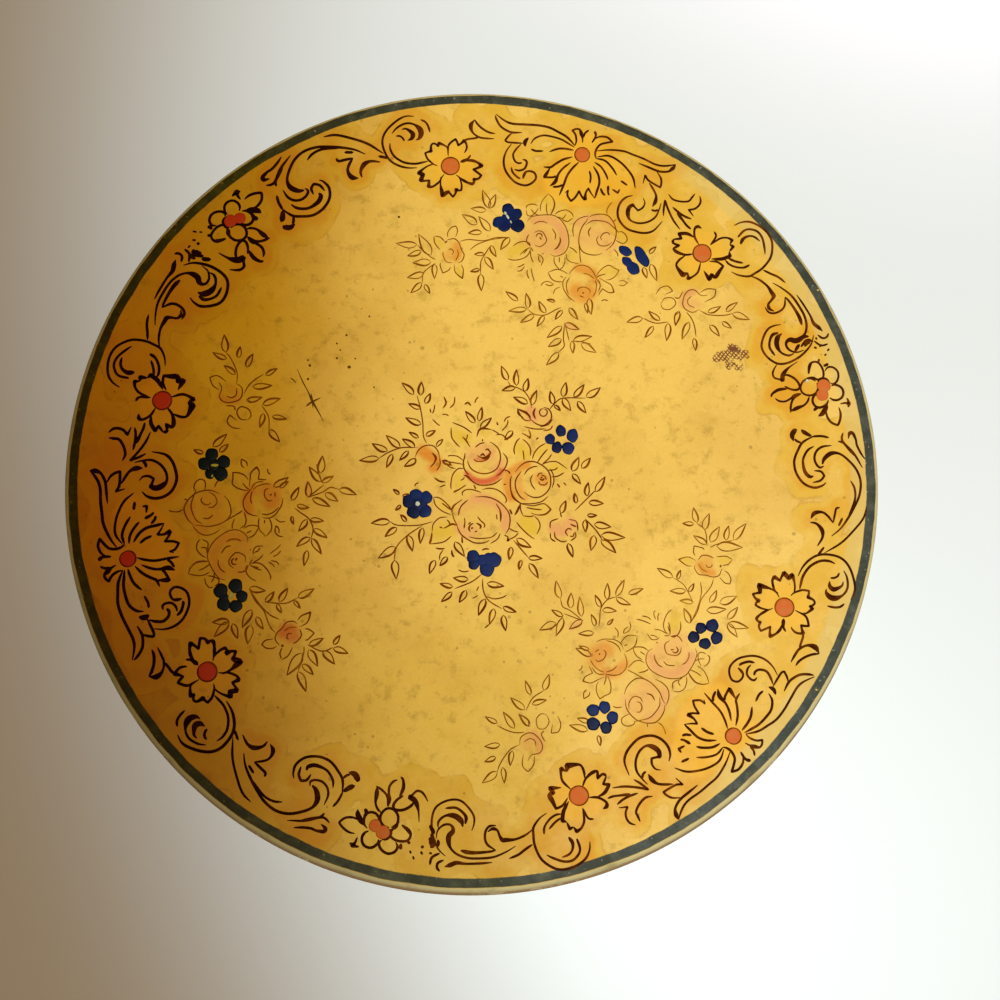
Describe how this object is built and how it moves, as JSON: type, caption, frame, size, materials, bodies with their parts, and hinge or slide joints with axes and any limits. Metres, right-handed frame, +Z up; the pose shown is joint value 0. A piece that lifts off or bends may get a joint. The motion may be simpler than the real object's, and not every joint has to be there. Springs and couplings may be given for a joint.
{
  "type": "round lidded wooden box",
  "caption": "Round bent-wood box with banded side, pegged base and a flat painted lid board that lifts off, kept in place by a ring under it.",
  "frame": {"origin": "centre of the circle that the box stands on", "axes": "+Z up through the middle of the lid; +X and +Y across the lid, which is round"},
  "size_m": [0.204, 0.204, 0.0812],
  "materials": {
    "painted_lid": "aged honey-yellow paint with painted flowers under old varnish",
    "painted_side": "aged yellow-cream paint on thin bent wood, worn at the edges",
    "painted_band": "pale cream paint on bent wood, worn at the edges",
    "bare_wood": "bare old softwood",
    "tack_iron": "dark old iron under worn paint"
  },
  "bodies": {
    "box": {"body_hoop": "painted_side", "hoop_lap_tacks": "tack_iron", "rim_band": "painted_band", "rim_band_tacks": "tack_iron", "foot_band": "painted_band", "foot_band_tacks": "tack_iron", "base_board": "bare_wood", "base_pegs": "bare_wood"},
    "lid": {"lid_board": "painted_lid", "lid_ring": "bare_wood", "lid_ring_brads": "tack_iron"}
  },
  "joints": [
    {"name": "lid_lift", "type": "slide", "parent": "box", "child": "lid", "axis": [0, 0, 1], "range_m": [0, 0.06]}
  ]
}
